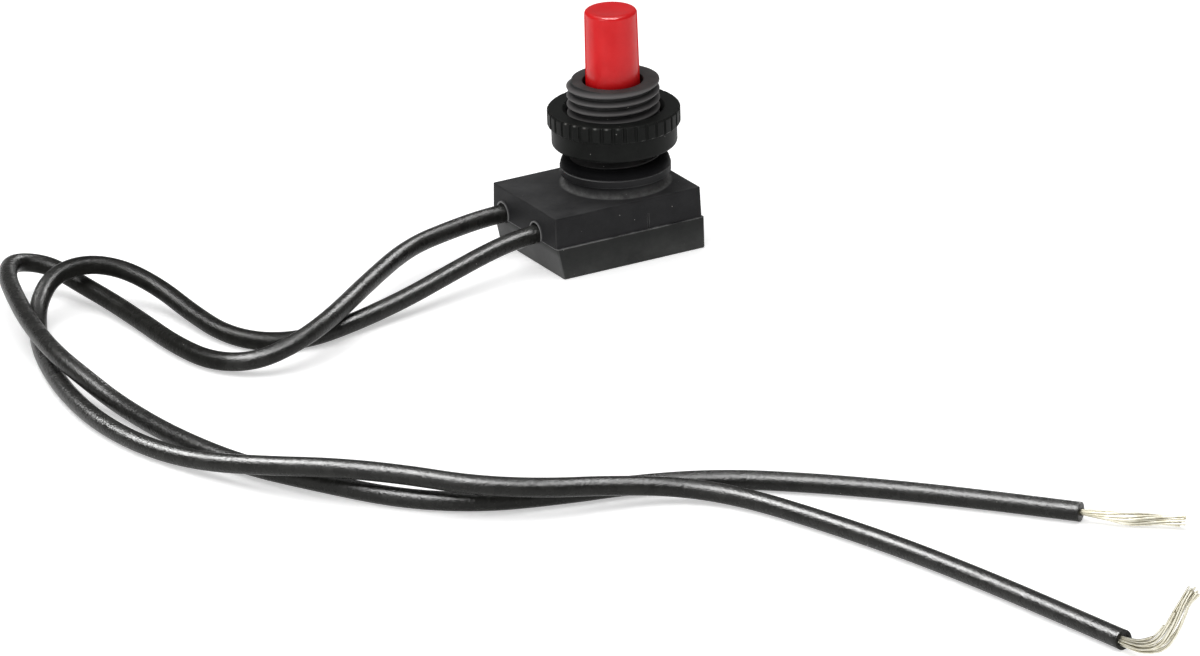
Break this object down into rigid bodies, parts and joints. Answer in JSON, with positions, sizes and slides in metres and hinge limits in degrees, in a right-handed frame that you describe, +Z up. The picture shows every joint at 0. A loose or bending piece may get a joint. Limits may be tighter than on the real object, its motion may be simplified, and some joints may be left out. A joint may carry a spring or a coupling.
{
  "type": "pushbutton switch",
  "caption": "Pushbutton lamp switch: flat moulded body, threaded neck with collar and knurled nut, round red button, and insulated leads with stripped ends.",
  "frame": {"origin": "on the neck's axis, at the flat underside of the body", "axes": "+Z up along the neck towards the button, -X towards the end where the leads come out, +Y towards the back of the switch"},
  "size_m": [0.0793, 0.1527, 0.0264],
  "materials": {
    "body_black": "matte charcoal moulding",
    "nut_black": "satin black",
    "button_red": "glossy red",
    "rotor_white": "natural nylon",
    "strip_brass": "stamped brass",
    "contact_silver": "silver rivets",
    "spring_steel": "drawn wire",
    "lead_insulation": "shiny dark insulation",
    "tinned_wire": "tinned copper strands"
  },
  "bodies": {
    "housing": {"housing": "body_black", "neck": "body_black", "base_cover": "body_black", "contact_strip_a": "strip_brass", "contact_strip_b": "strip_brass", "strip_contacts": "contact_silver", "return_spring": "spring_steel", "lead_a": "lead_insulation", "lead_b": "lead_insulation", "lead_a_core": "tinned_wire", "lead_b_core": "tinned_wire", "lead_a_strands": "tinned_wire", "lead_b_strands": "tinned_wire"},
    "button": {"button": "button_red"},
    "rotor": {"index_rotor": "rotor_white", "contact_bridge": "strip_brass", "bridge_contacts": "contact_silver"},
    "nut": {"knurled_nut": "nut_black"}
  },
  "joints": [
    {"name": "button_press", "type": "slide", "parent": "housing", "child": "button", "axis": [0, 0, -1], "range_m": [0, 0.0032], "stiffness_N_per_m": 300, "springref_m": -0.004, "deforming": ["return_spring"]},
    {"name": "rotor_index", "type": "hinge", "parent": "button", "child": "rotor", "pos_m": [0, 0, 0.009], "axis": [0, 0, 1], "range_deg": [0, 11.25]},
    {"name": "nut_turn", "type": "hinge", "parent": "housing", "child": "nut", "pos_m": [0, 0, 0.01336], "axis": [0, 0, 1], "continuous": true}
  ],
  "couplings": [
    {"joint": "rotor_index", "follows": "button_press", "rad_per_m": 61.3}
  ]
}
